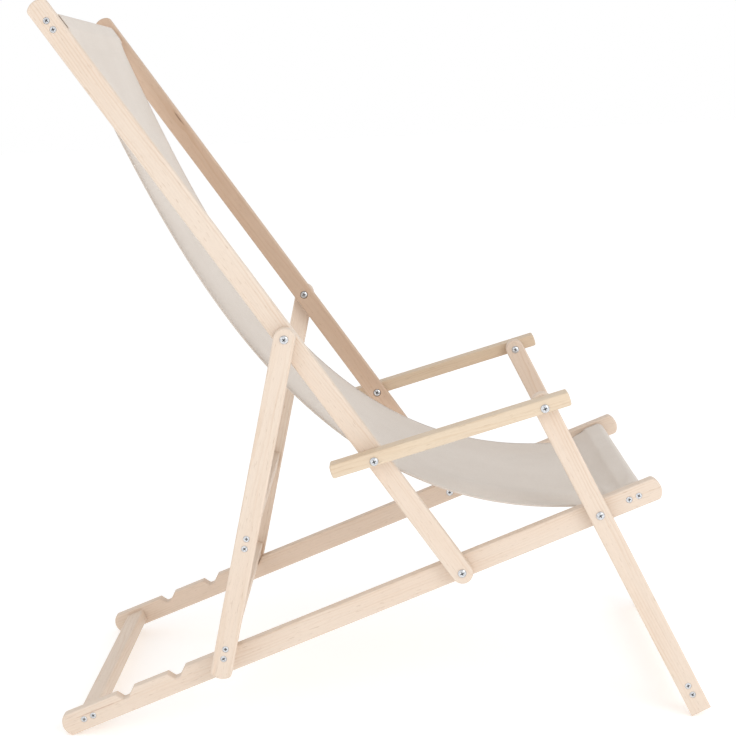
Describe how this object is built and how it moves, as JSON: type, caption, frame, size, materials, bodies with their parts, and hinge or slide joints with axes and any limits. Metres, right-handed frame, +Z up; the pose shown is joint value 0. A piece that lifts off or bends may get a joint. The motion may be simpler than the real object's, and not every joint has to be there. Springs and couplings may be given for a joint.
{
  "type": "folding deck chair",
  "caption": "Folding wooden deck chair: crossed back and seat frames, notched rear prop, linked front legs and armrests, slung canvas seat.",
  "frame": {"origin": "on the ground, under the middle of the overall box, in the upright position", "axes": "+X towards the sitter's feet, +Y towards the sitter's left hand, +Z up"},
  "size_m": [0.9652, 0.6008, 1.0767],
  "materials": {
    "wood": "planed pale beech, unvarnished",
    "armrest_wood": "planed pale wood, slightly yellower, with plain grain",
    "zinc": "bright zinc plate",
    "canvas": "plain woven light grey-beige canvas"
  },
  "bodies": {
    "seat_frame": {"back_pivot_bolt_left": "zinc", "back_pivot_bolt_right": "zinc", "back_pivot_sleeve_nut_left": "zinc", "back_pivot_sleeve_nut_right": "zinc", "front_leg_pivot_bolt_left": "zinc", "front_leg_pivot_bolt_right": "zinc", "front_leg_pivot_sleeve_nut_left": "zinc", "front_leg_pivot_sleeve_nut_right": "zinc", "seat_front_bar": "wood", "seat_front_screw_lower_left": "zinc", "seat_front_screw_lower_right": "zinc", "seat_front_screw_upper_left": "zinc", "seat_front_screw_upper_right": "zinc", "seat_rail_left": "wood", "seat_rail_right": "wood", "seat_rear_bar": "wood", "seat_rear_screw_lower_left": "zinc", "seat_rear_screw_lower_right": "zinc", "seat_rear_screw_upper_left": "zinc", "seat_rear_screw_upper_right": "zinc"},
    "back_frame": {"armrest_rear_bolt_left": "zinc", "armrest_rear_bolt_right": "zinc", "back_rail_left": "wood", "back_rail_right": "wood", "back_top_bar": "wood", "back_top_screw_lower_left": "zinc", "back_top_screw_lower_right": "zinc", "back_top_screw_upper_left": "zinc", "back_top_screw_upper_right": "zinc", "prop_pivot_bolt_left": "zinc", "prop_pivot_bolt_right": "zinc", "prop_pivot_sleeve_nut_left": "zinc", "prop_pivot_sleeve_nut_right": "zinc", "sling": "canvas"},
    "leg_frame": {"armrest_front_sleeve_nut_left": "zinc", "armrest_front_sleeve_nut_right": "zinc", "front_leg_bar": "wood", "front_leg_left": "wood", "front_leg_right": "wood", "front_leg_screw_lower_left": "zinc", "front_leg_screw_lower_right": "zinc", "front_leg_screw_upper_left": "zinc", "front_leg_screw_upper_right": "zinc"},
    "prop_frame": {"prop_leg_left": "wood", "prop_leg_right": "wood", "prop_lower_bar": "wood", "prop_lower_screw_lower_left": "zinc", "prop_lower_screw_lower_right": "zinc", "prop_lower_screw_upper_left": "zinc", "prop_lower_screw_upper_right": "zinc", "prop_upper_bar": "wood", "prop_upper_screw_lower_left": "zinc", "prop_upper_screw_lower_right": "zinc", "prop_upper_screw_upper_left": "zinc", "prop_upper_screw_upper_right": "zinc"},
    "armrest_right_body": {"armrest_right": "armrest_wood", "armrest_front_bolt_right": "zinc"},
    "armrest_left_body": {"armrest_left": "armrest_wood", "armrest_front_bolt_left": "zinc"}
  },
  "joints": [
    {"name": "back_fold", "type": "hinge", "parent": "seat_frame", "child": "back_frame", "pos_m": [0.12382, 0, 0.23328], "axis": [0, -1, 0], "range_deg": [0, 76], "deforming": ["sling"]},
    {"name": "front_leg_fold", "type": "hinge", "parent": "seat_frame", "child": "leg_frame", "pos_m": [0.32644, 0, 0.311], "axis": [0, -1, 0], "range_deg": [0, 75.18]},
    {"name": "armrest_right_fold", "type": "hinge", "parent": "back_frame", "child": "armrest_right_body", "pos_m": [0.00402, 0, 0.41253], "axis": [0, -1, 0], "range_deg": [-63.3, 0]},
    {"name": "armrest_left_fold", "type": "hinge", "parent": "back_frame", "child": "armrest_left_body", "pos_m": [0.00402, 0, 0.41253], "axis": [0, -1, 0], "range_deg": [-63.3, 0]},
    {"name": "prop_swing", "type": "hinge", "parent": "back_frame", "child": "prop_frame", "pos_m": [-0.11511, 0, 0.59079], "axis": [0, -1, 0], "range_deg": [-127.42, 0]}
  ],
  "couplings": [
    {"joint": "front_leg_fold", "follows": "back_fold", "ratio": 0.98912},
    {"joint": "armrest_right_fold", "follows": "back_fold", "ratio": -0.8327},
    {"joint": "armrest_left_fold", "follows": "back_fold", "ratio": -0.8327},
    {"joint": "prop_swing", "follows": "back_fold", "ratio": -1.6764}
  ]
}
